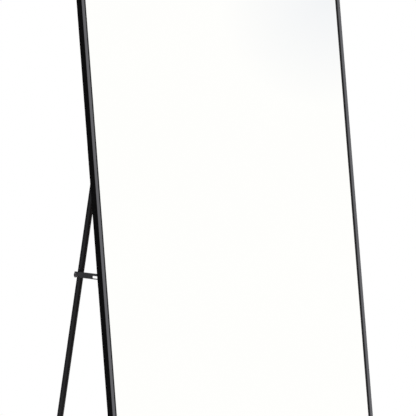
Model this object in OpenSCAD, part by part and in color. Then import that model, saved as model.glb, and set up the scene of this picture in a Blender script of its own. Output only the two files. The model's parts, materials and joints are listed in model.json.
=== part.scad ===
// Full-length mirror with a folding U-shaped stand.
// Lengths are in millimetres. X runs across the mirror, Y from front to back, Z up.
// The origin is on the floor, under the middle of the mirror standing open.

/* [Mirror frame] */
// Width of the frame over its outer faces
frame_w = 559; // [480:1:640]
// Height of the frame, measured along it
frame_h = 1651; // [1500:1:1800]
// Width of the frame's face seen from the front
face_w = 9; // [8:0.5:12]
// Thickness of the wall round the outside of the frame
outer_wall = 1.4; // [1.2:0.1:2]
// Thickness of the front lip, in front of the glass
lip_t = 1.4; // [1.3:0.1:2]
// Width of the slope that leads from the flat face down to the glass
slope_w = 3.5; // [2.5:0.5:4.5]
// Depth of that slope at the glass
slope_drop = 0.8; // [0.5:0.1:1]
// Radius of the front outer edge
edge_r = 0.8; // [0.4:0.1:1.2]
// Depth of the closed chamber along the back of the frame
chamber_d = 12; // [9:0.5:14]
// Thickness of the chamber's walls
chamber_wall = 1.2; // [1:0.1:1.6]

/* [Glazing] */
// Thickness of the mirror glass
glass_t = 4; // [3:0.5:6]
// Distance from the frame's outer face to the edge of the glass
glass_inset = 3; // [2.5:0.5:4.5]
// Thickness of the glazing gasket under the lip
gasket_t = 0.4; // [0.3:0.1:1]
// Thickness of the safety film on the back of the glass
film_t = 0.3; // [0.2:0.1:0.5]
// Thickness of the foam sheet
foam_t = 1.8; // [1:0.1:3]
// Thickness of the backing board
board_t = 2; // [1.5:0.5:3]
// Height of the bow springs behind the board
spring_h = 1; // [0.8:0.1:1.5]
// Thickness of the spring steel
spring_t = 0.3; // [0.2:0.05:0.4]
// Length of one bow spring
spring_len = 70; // [50:1:90]
// Length of one setting block under the glass
block_len = 40; // [25:1:60]

/* [Corners] */
// Length of each leg of a corner key
key_len = 34; // [28:1:45]
// Distance from a corner to its screws
corner_screw_at = 24; // [18:1:26]
// Diameter of the corner screws
corner_screw_d = 3; // [2.5:0.5:3]
// Diameter of the corner screws' heads
corner_head_d = 5.4; // [4.5:0.1:6]

/* [Stance] */
// Angle at which the mirror leans back
lean = 10; // [8:0.5:12]
// Angle of the stand from upright
leg_angle = 18.8; // [17:0.1:21]
// Least thickness of the floor pads
pad_min = 2; // [1.5:0.5:4]
// Length of a floor pad
pad_len = 36; // [20:1:60]
// Distance from the frame's outer face to a floor pad
pad_at = 12; // [5:1:40]
// Distance from the frame's front and back to a floor pad's edges
pad_margin = 2; // [1:0.5:4]

/* [Stand] */
// Diameter of the stand's tube
tube_d = 12.5; // [11:0.5:13]
// Wall thickness of the tube
tube_wall = 1.2; // [1:0.1:1.5]
// Distance from the frame's outer face to the middle of the tube
leg_inset = 21.5; // [20.5:0.5:25]
// Height of the stand's hinge, measured along the frame
hinge_at = 920; // [800:1:1000]
// Distance from the back of the frame to the hinge axis
hinge_off = 11.5; // [11:0.5:14]
// Length of tube above the hinge axis
arm_top = 6.5; // [6:0.5:7.5]
// Radius of the bends at the foot, to the middle of the tube
bend_r = 40; // [25:1:60]
// Straight length at each end of a bend
bend_straight = 15; // [10:1:25]
// Length of the reduced ends that plug into the tubes
spigot_len = 26; // [18:1:36]
// Wall thickness of the reduced ends
spigot_wall = 1; // [0.8:0.1:1.2]
// Diameter of the joint rivets
rivet_d = 3; // [2.5:0.5:4]
// Height of a rivet's head
rivet_head_h = 1.2; // [0.8:0.1:1.6]
// Height of the plug's rim above the end of the tube
plug_rim = 0.4; // [0.2:0.1:1]
// Height of the plug's dome above its rim
plug_dome = 1.6; // [1:0.1:3]
// Outer diameter of the rubber foot sleeves
sleeve_d = 17; // [16:0.5:21]
// Height of the foot tube's axis above the floor
foot_axis_h = 7.5; // [7:0.1:7.8]
// Length of a foot sleeve
sleeve_len = 42; // [25:1:60]
// Distance along the foot bar from its rivet to the rubber sleeve
sleeve_gap = 12; // [5:1:60]

/* [Hinges] */
// Thickness of the brackets' steel sheet
sheet_t = 1.6; // [1.2:0.1:2]
// Inner radius of the bends in that sheet
bend_fillet = 0.8; // [0.6:0.1:1]
// Radius of the flanges' corners
flange_r = 3; // [2:0.5:4]
// Distance from the frame's outer face to the edge of a flange
flange_edge = 0.6; // [0.4:0.1:1]
// Height of a hinge bracket
bracket_h = 62; // [54:1:80]
// Distance between a hinge bracket's two screws
bracket_screws_apart = 44; // [40:1:46]
// Diameter of the hinge bolts
bolt_d = 5; // [4:0.5:6]
// Radius of the bracket's rounded ears
ear_r = 7; // [6.5:0.5:8]
// Height of those ears where they leave the flange
ear_h = 34; // [28:1:36]
// Outer diameter of the bush in the tube
bush_d = 7; // [6.5:0.5:8]
// Thickness of the washers beside the tube
washer_t = 0.6; // [0.5:0.1:1]
// Diameter of the washers beside the tube
washer_d = 12; // [10:0.5:13]
// Diameter of the screws that hold brackets and lugs
screw_d = 4; // [3:0.5:4]
// Diameter of those screws' heads
screw_head_d = 6.4; // [5.5:0.1:6.6]

/* [Stays] */
// Distance along the stand from its hinge to the stud that takes the stay
stud_at = 233; // [200:1:260]
// Distance along the frame from the hinge down to the stay's pin
pin_drop = 219.5; // [187:0.5:247]
// Distance from the back of the frame to the stay's pin
pin_off = 10.5; // [10:0.5:12]
// Thickness of a stay
stay_t = 1.6; // [1.2:0.1:2]
// Height of a stay above the line from its pin to the stud
stay_up = 7; // [6:0.5:8]
// Height of a stay below that line
stay_down = 4.2; // [3.8:0.1:5]
// Length of a stay beyond its pin
stay_end = 6.5; // [5.5:0.5:7]
// Thickness of the hook's tip beyond the stud
hook_t = 3; // [2.5:0.5:4]
// Diameter of the stay's pin
pin_d = 4.5; // [4:0.5:5]
// Distance from the pin to the far end of the stay's slot
slot_len = 39; // [30:1:50]
// Radius of a stay's corners at its hook
stay_corner_r = 3; // [2:0.5:4]
// Diameter of the stud's neck
neck_d = 6; // [5:0.5:6.5]
// Diameter of the stud's head
stud_head_d = 9.5; // [9:0.5:12]
// Length of the stud's head
stud_head_l = 2; // [1.5:0.5:4]
// Length of the stud's riveted end
stud_tail_l = 1.2; // [0.8:0.1:2]
// Wall thickness of the spacer behind the stay
spacer_wall = 1.5; // [1:0.1:1.8]
// Height of a stay lug's flange
lug_h = 44; // [38:1:60]
// Distance between a lug's two screws
lug_screws_apart = 32; // [28:1:34]
// Radius of the lug's rounded ear
lug_r = 6.5; // [5.5:0.5:6.5]
// Height of that ear where it leaves the flange
lug_ear_h = 20; // [16:1:24]
// Length of the stay pin's head
pin_head_l = 2; // [1.5:0.1:3]

/* [Clearances] */
// Radial play of a bolt, pin or screw in its hole
hole_play = 0.05; // [0.03:0.01:0.1]
// Sideways play between parts that slide past each other
side_play = 0.1; // [0.05:0.05:0.2]
// Play of a key or plate in the frame's chamber
chamber_play = 0.1; // [0.05:0.05:0.2]
// Room between the stud's neck and the stay's hook
hook_play = 0.3; // [0.2:0.1:0.5]
// Room between the folded stand and the ears of the lugs
fold_play = 0.5; // [0.4:0.1:1]
// Room between the plug in an arm and the bush across it
plug_play = 0.5; // [0.3:0.1:1]

/* [Hidden] */
$fn = 72;
eps = 0.01;
past = 1;

black = "#1b1b1d";
steel_black = "#242427";
zinc = "#b9bdc2";

// Depths through the frame, from its face at 0 to its back at frame_d
groove_d = gasket_t + glass_t + film_t + foam_t + board_t + spring_h;
glass_v = lip_t + gasket_t;
film_v = glass_v + glass_t;
foam_v = film_v + film_t;
board_v = foam_v + foam_t;
spring_v = board_v + board_t;
ledge_v = lip_t + groove_d;
frame_d = ledge_v + chamber_d;
chamber_t0 = outer_wall;
chamber_t1 = face_w - chamber_wall;
chamber_v0 = ledge_v + chamber_wall;
chamber_v1 = frame_d - chamber_wall;
chamber_mid = (chamber_t0 + chamber_t1) / 2;
key_w = chamber_t1 - chamber_t0 - 2 * chamber_play;

// Stance: where the leaning frame and the stand's hinge lie
rise = pad_min + frame_d * sin(lean);
front_y = edge_r * (cos(lean) + sin(lean) - 1);
hinge_v = frame_d + hinge_off;
hinge_z = frame_z(hinge_v, hinge_at);
leg_len = (hinge_z - foot_axis_h) / cos(leg_angle);
foot_y0 = raw_y(hinge_v, hinge_at) + leg_len * sin(leg_angle);
mid_y = (front_y + foot_y0 + sleeve_d / 2) / 2;
hinge_y = frame_y(hinge_v, hinge_at);
foot_y = foot_y0 - mid_y;
function raw_y(v, w) = v * cos(lean) + w * sin(lean);
function frame_y(v, w) = raw_y(v, w) - mid_y;
function frame_z(v, w) = rise - v * sin(lean) + w * cos(lean);

// Stations across the hinge and the stay, measured outboard from the middle of the tube
tube_r = tube_d / 2;
bore_r = tube_r - tube_wall;
ear_in = tube_r + washer_t + side_play;
lug_in = tube_r + fold_play;
lug_out = lug_in + sheet_t;
stay_in = lug_out + side_play;
stay_out = stay_in + stay_t;
head_in = stay_out + side_play;
arm_end = leg_len - bend_r - bend_straight;
arm_x = frame_w / 2 - leg_inset;
bar_half = arm_x - bend_r - bend_straight;

// The stay's line runs from its pin on the frame to the stud on the stand
pin_v = frame_d + pin_off;
pin_w = hinge_at - pin_drop;
pin_y = frame_y(pin_v, pin_w);
pin_z = frame_z(pin_v, pin_w);
stud_y = hinge_y + stud_at * sin(leg_angle);
stud_z = hinge_z - stud_at * cos(leg_angle);
stay_slope = atan2(pin_z - stud_z, stud_y - pin_y);
stay_len = norm([stud_y - pin_y, stud_z - pin_z]);
hook_r = neck_d / 2 + hook_play;

// Frames of reference
module on_frame() { translate([0, -mid_y, rise]) rotate([-lean, 0, 0]) children(); }
module on_leg() { translate([0, hinge_y, hinge_z]) rotate([leg_angle, 0, 0]) children(); }
module on_stay() { translate([0, pin_y, pin_z]) rotate([-stay_slope, 0, 0]) children(); }
// On the left side x counts inboard from the frame's outer face, and the right is its mirror image
module left_side() { translate([-frame_w / 2, 0, 0]) children(); }
module right_side() { mirror([1, 0, 0]) left_side() children(); }
module both_sides() { left_side() children(); right_side() children(); }
module top_and_bottom() { children(); translate([0, 0, frame_h]) mirror([0, 0, 1]) children(); }
// A plane shape drawn in depth and height, made thick across the mirror
module plate_x(x0, t) { translate([x0, 0, 0]) rotate([90, 0, 90]) linear_extrude(t) children(); }
// A turned piece with its axis towards the back, or inboard
module facing_back(x, v, w) { translate([x, v, w]) rotate([-90, 0, 0]) children(); }
module facing_in(x, v, w) { translate([x, v, w]) rotate([0, 90, 0]) children(); }

function arc_points(c, r, a0, a1, n) =
    [for (i = [0:n]) let (a = a0 + (a1 - a0) * i / n) c + r * [cos(a), sin(a)]];

// Half outline of a low dome, from its rim at height 0 to its top on the axis
function dome_points(r, h) = concat([for (a = [0:15:75]) [r * cos(a), h * sin(a)]], [[0, h]]);

module rounded_rect(p0, p1, r) {
    translate([p0.x + r, p0.y]) square([p1.x - p0.x - 2 * r, p1.y - p0.y]);
    translate([p0.x, p0.y + r]) square([p1.x - p0.x, p1.y - p0.y - 2 * r]);
    for (x = [p0.x + r, p1.x - r], y = [p0.y + r, p1.y - r]) translate([x, y]) circle(r);
}

// Screw with a low button head and a hexagon socket, its head upwards from z = 0
module button_screw(d, len, head_d, head_h) {
    tip = d / 8;
    socket_d = head_d * 0.5;
    difference() {
        rotate_extrude() polygon(concat(
            [[0, -len], [d / 2 - tip, -len], [d / 2, -len + tip], [d / 2, 0]],
            dome_points(head_d / 2, head_h)));
        translate([0, 0, head_h / 2]) cylinder(d = socket_d, h = head_h, $fn = 6);
    }
}

// Frame: an extruded profile, drawn as distance from the outer face against depth
module frame_profile() {
    difference() {
        polygon(concat(
            arc_points([edge_r, edge_r], edge_r, 180, 270, 6),
            [[face_w - slope_w, 0], [face_w, slope_drop], [face_w, lip_t], [outer_wall, lip_t],
             [outer_wall, ledge_v], [face_w, ledge_v], [face_w, frame_d], [0, frame_d]]));
        translate([chamber_t0, chamber_v0]) square([chamber_t1 - chamber_t0, chamber_v1 - chamber_v0]);
    }
}

module mitred_bar(len) {
    m = face_w + past;
    intersection() {
        linear_extrude(len) frame_profile();
        translate([0, frame_d + past, 0]) rotate([90, 0, 0]) linear_extrude(frame_d + 2 * past)
            polygon([[-past, -past], [m, m], [m, len - m], [-past, len + past]]);
    }
}

module back_hole(at, d) {
    facing_back(chamber_mid, chamber_v1 - past, at) cylinder(d = d + 4 * hole_play, h = chamber_wall + 2 * past);
}

bracket_rows = [for (s = [-1, 1]) hinge_at + s * bracket_screws_apart / 2];
lug_rows = [for (s = [-1, 1]) pin_w + s * lug_screws_apart / 2];
corner_rows = [corner_screw_at, frame_h - corner_screw_at];

module stile() {
    color(black) difference() {
        mitred_bar(frame_h);
        for (w = concat(bracket_rows, lug_rows)) back_hole(w, screw_d);
        for (w = corner_rows) back_hole(w, corner_screw_d);
    }
}

module rail() {
    color(black) translate([frame_w / 2, 0, 0]) rotate([0, -90, 0]) difference() {
        mitred_bar(frame_w);
        for (x = [corner_screw_at, frame_w - corner_screw_at]) back_hole(x, corner_screw_d);
    }
}

module left_stile() { on_frame() left_side() stile(); }
module right_stile() { on_frame() right_side() stile(); }
module bottom_rail() { on_frame() rail(); }
module top_rail() { on_frame() translate([0, 0, frame_h]) mirror([0, 0, 1]) rail(); }

// Corner keys: angles pushed into the chambers, with a tapped hole in each leg
module corner_key() {
    t0 = chamber_t0 + chamber_play;
    v0 = chamber_v0 + chamber_play;
    depth = chamber_v1 - chamber_v0 - 2 * chamber_play;
    difference() {
        translate([t0, v0 + depth, t0]) rotate([90, 0, 0]) linear_extrude(depth)
            polygon([[0, 0], [key_len, 0], [key_len, key_w], [key_w, key_w], [key_w, key_len], [0, key_len]]);
        for (p = [[chamber_mid, corner_screw_at], [corner_screw_at, chamber_mid]])
            facing_back(p.x, v0 - past, p.y)
                cylinder(d = corner_screw_d + 2 * hole_play, h = depth + 2 * past);
    }
}

module corner_keys() { color(zinc) on_frame() both_sides() top_and_bottom() corner_key(); }

module corner_screws() {
    color(steel_black) on_frame() both_sides() top_and_bottom()
        for (p = [[chamber_mid, corner_screw_at], [corner_screw_at, chamber_mid]])
            facing_back(p.x, frame_d, p.y)
                button_screw(corner_screw_d, chamber_d - 2 * chamber_wall, corner_head_d, corner_screw_d / 2);
}

// Glazing pack, from front to back: gasket, glass, film, foam, board, springs
module sheet(inset, v, t) {
    translate([-frame_w / 2 + inset, v, inset]) cube([frame_w - 2 * inset, t, frame_h - 2 * inset]);
}

module mirror_glass() { color("#dfe6ea") on_frame() sheet(glass_inset, glass_v, glass_t); }
module safety_film() { color("#8d9499") on_frame() sheet(glass_inset, film_v, film_t); }
module foam_sheet() { color("#f2f2ee") on_frame() sheet(glass_inset, foam_v, foam_t); }
module backing_board() { color("#6b5038") on_frame() sheet(outer_wall + side_play, board_v, board_t); }

module glazing_gasket() {
    color("#101011") on_frame() difference() {
        sheet(glass_inset, lip_t, gasket_t);
        translate([0, -past, 0]) sheet(face_w, lip_t, gasket_t + 2 * past);
    }
}

module setting_blocks() {
    color("#2b2b2b") on_frame() for (s = [-1, 1])
        translate([s * frame_w / 4 - block_len / 2, glass_v, outer_wall])
            cube([block_len, glass_t, glass_inset - outer_wall]);
}

// A shallow bow of spring steel: its ends press on the ledge and its middle on the board
module bow_spring() {
    half = spring_len / 2;
    sag = spring_h - spring_t;
    bow_r = (half * half + sag * sag) / (2 * sag);
    swing = asin(half / bow_r);
    width = face_w - outer_wall - 2 * side_play;
    translate([outer_wall + side_play, spring_v + bow_r + spring_t, 0]) rotate([0, 90, 0])
        linear_extrude(width) polygon(concat(
            arc_points([0, 0], bow_r, -90 - swing, -90 + swing, 16),
            arc_points([0, 0], bow_r + spring_t, -90 + swing, -90 - swing, 16)));
}

module board_springs() {
    color(zinc) on_frame() {
        both_sides() for (k = [1, 3, 5]) translate([0, 0, frame_h * k / 6]) bow_spring();
        top_and_bottom() for (s = [-1, 1]) translate([s * frame_w / 4, 0, 0]) rotate([0, -90, 0]) bow_spring();
    }
}

// Tapped steel bars inside the stiles, behind the brackets and lugs
nut_t = (chamber_v1 - chamber_v0) / 2;
module nut_plate(rows, margin) {
    difference() {
        translate([chamber_t0 + chamber_play, chamber_v1 - nut_t, rows[0] - margin])
            cube([key_w, nut_t, rows[1] - rows[0] + 2 * margin]);
        for (w = rows) facing_back(chamber_mid, chamber_v1 - nut_t - past, w)
            cylinder(d = screw_d + 2 * hole_play, h = nut_t + 2 * past);
    }
}

module nut_plates() {
    color(zinc) on_frame() both_sides() {
        nut_plate(bracket_rows, 2 * screw_d);
        nut_plate(lug_rows, 2 * screw_d);
    }
}

// Hinge bracket: a clevis of bent sheet with a flange on the back of the stile
module bracket_section(back) {
    t1 = leg_inset - ear_in;
    t2 = leg_inset + ear_in;
    r = bend_fillet;
    round_r = sheet_t + r;
    v = sheet_t + r;
    polygon(concat(
        [[flange_edge, 0]],
        arc_points([t2 - r, v], round_r, 270, 360, 6),
        [[t2 + sheet_t, back], [t2, back]],
        arc_points([t2 - r, v], r, 0, -90, 4),
        arc_points([t1 + r, v], r, 270, 180, 4),
        [[t1, back], [t1 - sheet_t, back]],
        arc_points([t1 - sheet_t - r, v], r, 0, -90, 4),
        [[flange_edge, sheet_t]]));
}

// Side view of a bracket: its flange, and an ear that narrows to a round end at the axis
module ear_outline(flange_h, root_h, off, r) {
    polygon(concat(
        [[-past, -flange_h / 2], [sheet_t, -flange_h / 2], [sheet_t, -root_h / 2]],
        arc_points([off, 0], r, -90, 90, 18),
        [[sheet_t, root_h / 2], [sheet_t, flange_h / 2], [-past, flange_h / 2]]));
}

module flange_outline(t1, h) {
    rounded_rect([flange_edge, -h / 2], [t1, h / 2], flange_r);
}

module hinge_bracket() {
    back = hinge_off + ear_r;
    color(steel_black) translate([0, frame_d, hinge_at]) difference() {
        intersection() {
            translate([0, 0, -bracket_h / 2]) linear_extrude(bracket_h) bracket_section(back);
            plate_x(-past, 2 * leg_inset) ear_outline(bracket_h, ear_h, hinge_off, ear_r);
            translate([0, back + past, 0]) rotate([90, 0, 0]) linear_extrude(back + 2 * past)
                flange_outline(leg_inset + ear_in + sheet_t, bracket_h);
        }
        facing_in(-past, hinge_off, 0) cylinder(d = bolt_d + 2 * hole_play, h = 2 * leg_inset);
        for (w = bracket_rows) facing_back(chamber_mid, -past, w - hinge_at)
            cylinder(d = screw_d + 4 * hole_play, h = sheet_t + 2 * past);
    }
}

module left_hinge_bracket() { on_frame() left_side() hinge_bracket(); }
module right_hinge_bracket() { on_frame() right_side() hinge_bracket(); }

module mounting_screws(rows) {
    color(steel_black) on_frame() both_sides() for (w = rows)
        facing_back(chamber_mid, frame_d + sheet_t, w)
            button_screw(screw_d, sheet_t + chamber_wall + nut_t, screw_head_d, screw_d / 2);
}

module bracket_screws() { mounting_screws(bracket_rows); }
module lug_screws() { mounting_screws(lug_rows); }

// Hinge bolt through both ears, with its head outboard and a nut inboard
nut_l = bolt_d * 0.7;
module hinge_bolt() {
    ear_out = ear_in + sheet_t;
    head_d = bolt_d * 1.8;
    head_h = bolt_d * 0.55;
    beyond_nut = bolt_d / 5;
    color(zinc) facing_in(leg_inset - ear_out, hinge_v, hinge_at) rotate([180, 0, 0])
        button_screw(bolt_d, 2 * ear_out + nut_l + beyond_nut, head_d, head_h);
}

module left_hinge_bolt() { on_frame() left_side() hinge_bolt(); }
module right_hinge_bolt() { on_frame() right_side() hinge_bolt(); }

module hinge_nuts() {
    over_corners = bolt_d * 1.85;
    color(zinc) on_frame() both_sides() facing_in(leg_inset + ear_in + sheet_t, hinge_v, hinge_at)
        difference() {
            cylinder(d = over_corners, h = nut_l, $fn = 6);
            translate([0, 0, -past]) cylinder(d = bolt_d + 2 * hole_play, h = nut_l + 2 * past);
        }
}

// Stay lug: an angle with its flange on the stile and its ear beside the stay
module lug_section(back) {
    t1 = leg_inset - lug_out;
    r = bend_fillet;
    v = sheet_t + r;
    polygon(concat(
        [[flange_edge, 0]],
        arc_points([t1 - r, v], sheet_t + r, 270, 360, 6),
        [[t1 + sheet_t, back], [t1, back]],
        arc_points([t1 - r, v], r, 0, -90, 4),
        [[flange_edge, sheet_t]]));
}

module stay_lug() {
    back = pin_off + lug_r;
    color(steel_black) translate([0, frame_d, pin_w]) difference() {
        intersection() {
            translate([0, 0, -lug_h / 2]) linear_extrude(lug_h) lug_section(back);
            plate_x(-past, leg_inset) ear_outline(lug_h, lug_ear_h, pin_off, lug_r);
            translate([0, back + past, 0]) rotate([90, 0, 0]) linear_extrude(back + 2 * past)
                flange_outline(leg_inset - lug_in, lug_h);
        }
        facing_in(-past, pin_off, 0) cylinder(d = pin_d + 2 * hole_play, h = 2 * leg_inset);
        for (w = lug_rows) facing_back(chamber_mid, -past, w - pin_w)
            cylinder(d = screw_d + 4 * hole_play, h = sheet_t + 2 * past);
    }
}

module left_stay_lug() { on_frame() left_side() stay_lug(); }
module right_stay_lug() { on_frame() right_side() stay_lug(); }

// Pin riveted flush into the lug, with a broad thin head outside the stay
module stay_pin() {
    head_r = pin_d * 0.9;
    edge = pin_head_l * 0.3;
    total = pin_head_l + head_in - lug_in;
    color(zinc) facing_in(leg_inset - head_in - pin_head_l, pin_v, pin_w) rotate_extrude() polygon([
        [0, 0], [head_r - edge, 0], [head_r, edge], [head_r, pin_head_l],
        [pin_d / 2, pin_head_l], [pin_d / 2, total], [0, total]]);
}

module left_stay_pin() { on_frame() left_side() stay_pin(); }
module right_stay_pin() { on_frame() right_side() stay_pin(); }

// Floor pads: wedges that fill the angle between the leaning rail and the floor
module floor_pad() {
    v0 = pad_margin;
    v1 = frame_d - pad_margin;
    color("#141414") plate_x(pad_at, pad_len) polygon([
        [frame_y(v0, 0), 0], [frame_y(v1, 0), 0],
        [frame_y(v1, 0), frame_z(v1, 0)], [frame_y(v0, 0), frame_z(v0, 0)]]);
}

module left_floor_pad() { left_side() floor_pad(); }
module right_floor_pad() { right_side() floor_pad(); }

// Stand: two arms, two bends and a foot bar, plugged together and riveted
rivet_at = bend_straight + spigot_len * 0.55;
sleeve_at = leg_inset + bend_r + rivet_at + sleeve_gap;
module rivet_hole(r) { cylinder(d = rivet_d + 4 * hole_play, h = r); }

module leg_arm() {
    color(black) translate([leg_inset, 0, 0]) difference() {
        translate([0, 0, -arm_end]) cylinder(r = tube_r, h = arm_end + arm_top);
        translate([0, 0, -arm_end - past]) cylinder(r = bore_r, h = arm_end + arm_top + 2 * past);
        facing_in(-tube_d, 0, 0) cylinder(d = bush_d + 2 * hole_play, h = 2 * tube_d);
        facing_in(-tube_d, 0, -stud_at) cylinder(d = neck_d + 2 * hole_play, h = 2 * tube_d);
        facing_back(0, 0, -leg_len + bend_r + rivet_at) rivet_hole(tube_d);
    }
}

module left_leg_arm() { on_leg() left_side() leg_arm(); }
module right_leg_arm() { on_leg() right_side() leg_arm(); }

// A bend with a reduced end on each side that plugs into its tube
module foot_bend() {
    plug_r = bore_r - hole_play;
    inner_r = plug_r - spigot_wall;
    color(black) translate([leg_inset + bend_r, 0, -leg_len + bend_r]) difference() {
        union() {
            rotate([90, 0, 0]) rotate([0, 0, 180]) rotate_extrude(angle = 90)
                translate([bend_r, 0]) circle(tube_r);
            translate([-bend_r, 0, 0]) cylinder(r = tube_r, h = bend_straight);
            translate([-bend_r, 0, 0]) cylinder(r = plug_r, h = bend_straight + spigot_len);
            facing_in(0, 0, -bend_r) cylinder(r = tube_r, h = bend_straight);
            facing_in(0, 0, -bend_r) cylinder(r = plug_r, h = bend_straight + spigot_len);
        }
        rotate([90, 0, 0]) rotate([0, 0, 180]) rotate_extrude(angle = 90)
            translate([bend_r, 0]) circle(inner_r);
        translate([-bend_r, 0, 0]) cylinder(r = inner_r, h = bend_straight + spigot_len + past);
        facing_in(0, 0, -bend_r) cylinder(r = inner_r, h = bend_straight + spigot_len + past);
        facing_back(-bend_r, 0, rivet_at) rivet_hole(tube_d);
        facing_back(rivet_at, 0, -bend_r) rivet_hole(tube_d);
    }
}

module left_foot_bend() { on_leg() left_side() foot_bend(); }
module right_foot_bend() { on_leg() right_side() foot_bend(); }

module foot_bar() {
    color(black) on_leg() translate([0, 0, -leg_len]) difference() {
        facing_in(-bar_half, 0, 0) cylinder(r = tube_r, h = 2 * bar_half);
        facing_in(-bar_half - past, 0, 0) cylinder(r = bore_r, h = 2 * (bar_half + past));
        for (s = [-1, 1]) facing_back(s * (arm_x - bend_r - rivet_at), 0, 0) rivet_hole(tube_d);
    }
}

// Rounded plugs in the tops of the arms
module arm_plugs() {
    insert_l = arm_top - bush_d / 2 - plug_play;
    insert_r = bore_r - hole_play;
    color("#151515") on_leg() both_sides() translate([leg_inset, 0, arm_top]) rotate_extrude()
        polygon(concat(
            [[0, -insert_l], [insert_r, -insert_l], [insert_r, 0], [tube_r, 0]],
            [for (p = dome_points(tube_r, plug_dome)) p + [0, plug_rim]]));
}

// Rivets through each tube and the reduced end inside it
module joint_rivets() {
    color(zinc) on_leg() both_sides() {
        facing_back(leg_inset, tube_r, -leg_len + bend_r + rivet_at) rivet();
        facing_back(leg_inset + bend_r + rivet_at, tube_r, -leg_len) rivet();
    }
}

module rivet() {
    len = tube_wall + spigot_wall + hole_play;
    rotate_extrude() polygon(concat(
        [[0, -len], [rivet_d / 2, -len], [rivet_d / 2, 0]], dome_points(rivet_d * 0.9, rivet_head_h)));
}

// Nylon bushes across the arms, and a washer on each side
module hinge_bushes() {
    half = tube_r + washer_t;
    color("#e8e6df") on_leg() both_sides() facing_in(leg_inset - half, 0, 0) difference() {
        cylinder(d = bush_d, h = 2 * half);
        translate([0, 0, -past]) cylinder(d = bolt_d + 2 * hole_play, h = 2 * (half + past));
    }
}

module hinge_washers() {
    color("#e8e6df") on_leg() both_sides() for (t = [-tube_r - washer_t, tube_r])
        facing_in(leg_inset + t, 0, 0) difference() {
            cylinder(d = washer_d, h = washer_t);
            translate([0, 0, -past]) cylinder(d = bush_d + 2 * hole_play, h = washer_t + 2 * past);
        }
}

// Stud across the arm: a round head outboard, a neck that the stay hooks over, a riveted end
module leg_stud() {
    tail_r = neck_d * 0.75;
    r = neck_d / 2;
    head_r = stud_head_d / 2;
    total = stud_head_l + head_in + tube_r;
    edge = stud_tail_l / 2;
    color(zinc) facing_in(leg_inset - head_in - stud_head_l, 0, -stud_at) rotate_extrude() polygon([
        [0, 0], [head_r - edge, 0], [head_r, edge], [head_r, stud_head_l], [r, stud_head_l],
        [r, total], [tail_r, total], [tail_r, total + stud_tail_l - edge],
        [tail_r - edge, total + stud_tail_l], [0, total + stud_tail_l]]);
}

module left_leg_stud() { on_leg() left_side() leg_stud(); }
module right_leg_stud() { on_leg() right_side() leg_stud(); }

module stud_spacers() {
    len = stay_in - side_play - tube_r;
    color(zinc) on_leg() both_sides() facing_in(leg_inset - tube_r - len, 0, -stud_at) difference() {
        cylinder(d = neck_d + 2 * spacer_wall, h = len);
        translate([0, 0, -past]) cylinder(d = neck_d + 2 * hole_play, h = len + 2 * past);
    }
}

// Rubber sleeves on the foot bar, with a flat sole on the floor
module foot_sleeve() {
    color("#141414") intersection() {
        facing_in(sleeve_at, foot_y, foot_axis_h) difference() {
            cylinder(d = sleeve_d, h = sleeve_len);
            translate([0, 0, -past]) cylinder(r = tube_r + hole_play, h = sleeve_len + 2 * past);
        }
        translate([sleeve_at - past, foot_y - sleeve_d, 0]) cube([sleeve_len + 2 * past, 2 * sleeve_d, 2 * sleeve_d]);
    }
}

module left_foot_sleeve() { left_side() foot_sleeve(); }
module right_foot_sleeve() { right_side() foot_sleeve(); }

// Stay, drawn from its pin at the origin towards the stud at stay_len
module stay_slot() {
    r = pin_d / 2 + 2 * hole_play;
    translate([0, -r]) square([slot_len - r, 2 * r]);
    circle(r);
    translate([slot_len - r, 0]) circle(r);
}

// The hook drops over the stud's neck. Its upper edge is the arc that the neck sweeps round
// the stand's hinge, so the stand can also fold while the stay lies at rest.
module stay_hook() {
    a = leg_angle + stay_slope;
    below = 3 * stay_down;
    reach = stay_len * 0.4;
    translate([stay_len, 0]) circle(hook_r);
    translate([stay_len - hook_r * sin(a), -below]) square([hook_r * (1 + sin(a)), below]);
    difference() {
        translate([stay_len - hook_r * sin(a) - reach, -below]) square([reach + eps, below + hook_r * cos(a)]);
        translate([stay_len - stud_at * sin(a), stud_at * cos(a)]) circle(stud_at - hook_r, $fn = 360);
    }
}

// The pin's end is round, so that it clears the lug's flange as the stay swings up
module stay_outline() {
    half = (stay_up + stay_down) / 2;
    translate([half - stay_end, stay_up - half]) circle(half);
    translate([half - stay_end, -stay_down]) square([stay_len + stay_end - half, 2 * half]);
    rounded_rect([stay_len - half, -stay_down], [stay_len + hook_r + hook_t, stay_up], stay_corner_r);
}

module stay() {
    color("#2c2c2f") plate_x(leg_inset - stay_out, stay_t) difference() {
        stay_outline();
        stay_slot();
        stay_hook();
    }
}

module left_stay() { on_stay() left_side() stay(); }
module right_stay() { on_stay() right_side() stay(); }

left_stile();
right_stile();
top_rail();
bottom_rail();
corner_keys();
corner_screws();
mirror_glass();
glazing_gasket();
setting_blocks();
safety_film();
foam_sheet();
backing_board();
board_springs();
nut_plates();
left_hinge_bracket();
right_hinge_bracket();
bracket_screws();
left_hinge_bolt();
right_hinge_bolt();
hinge_nuts();
left_stay_lug();
right_stay_lug();
lug_screws();
left_stay_pin();
right_stay_pin();
left_floor_pad();
right_floor_pad();
left_leg_arm();
right_leg_arm();
left_foot_bend();
right_foot_bend();
foot_bar();
arm_plugs();
joint_rivets();
hinge_bushes();
hinge_washers();
left_leg_stud();
right_leg_stud();
stud_spacers();
left_foot_sleeve();
right_foot_sleeve();
left_stay();
right_stay();
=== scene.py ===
# %% [markdown]
# # A full-length mirror on a folding stand
# The construction is fixed: every frame bar, tube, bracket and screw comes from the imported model, in
# metres, standing open on the floor. This lesson dresses it. It gives each part the finish that the
# real one has, models again, with finer edges, the parts that a closer look would find too plain, and
# ends with a small studio.

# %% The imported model
import json
import math

import bmesh
import bpy
from mathutils import Matrix, Vector


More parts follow.
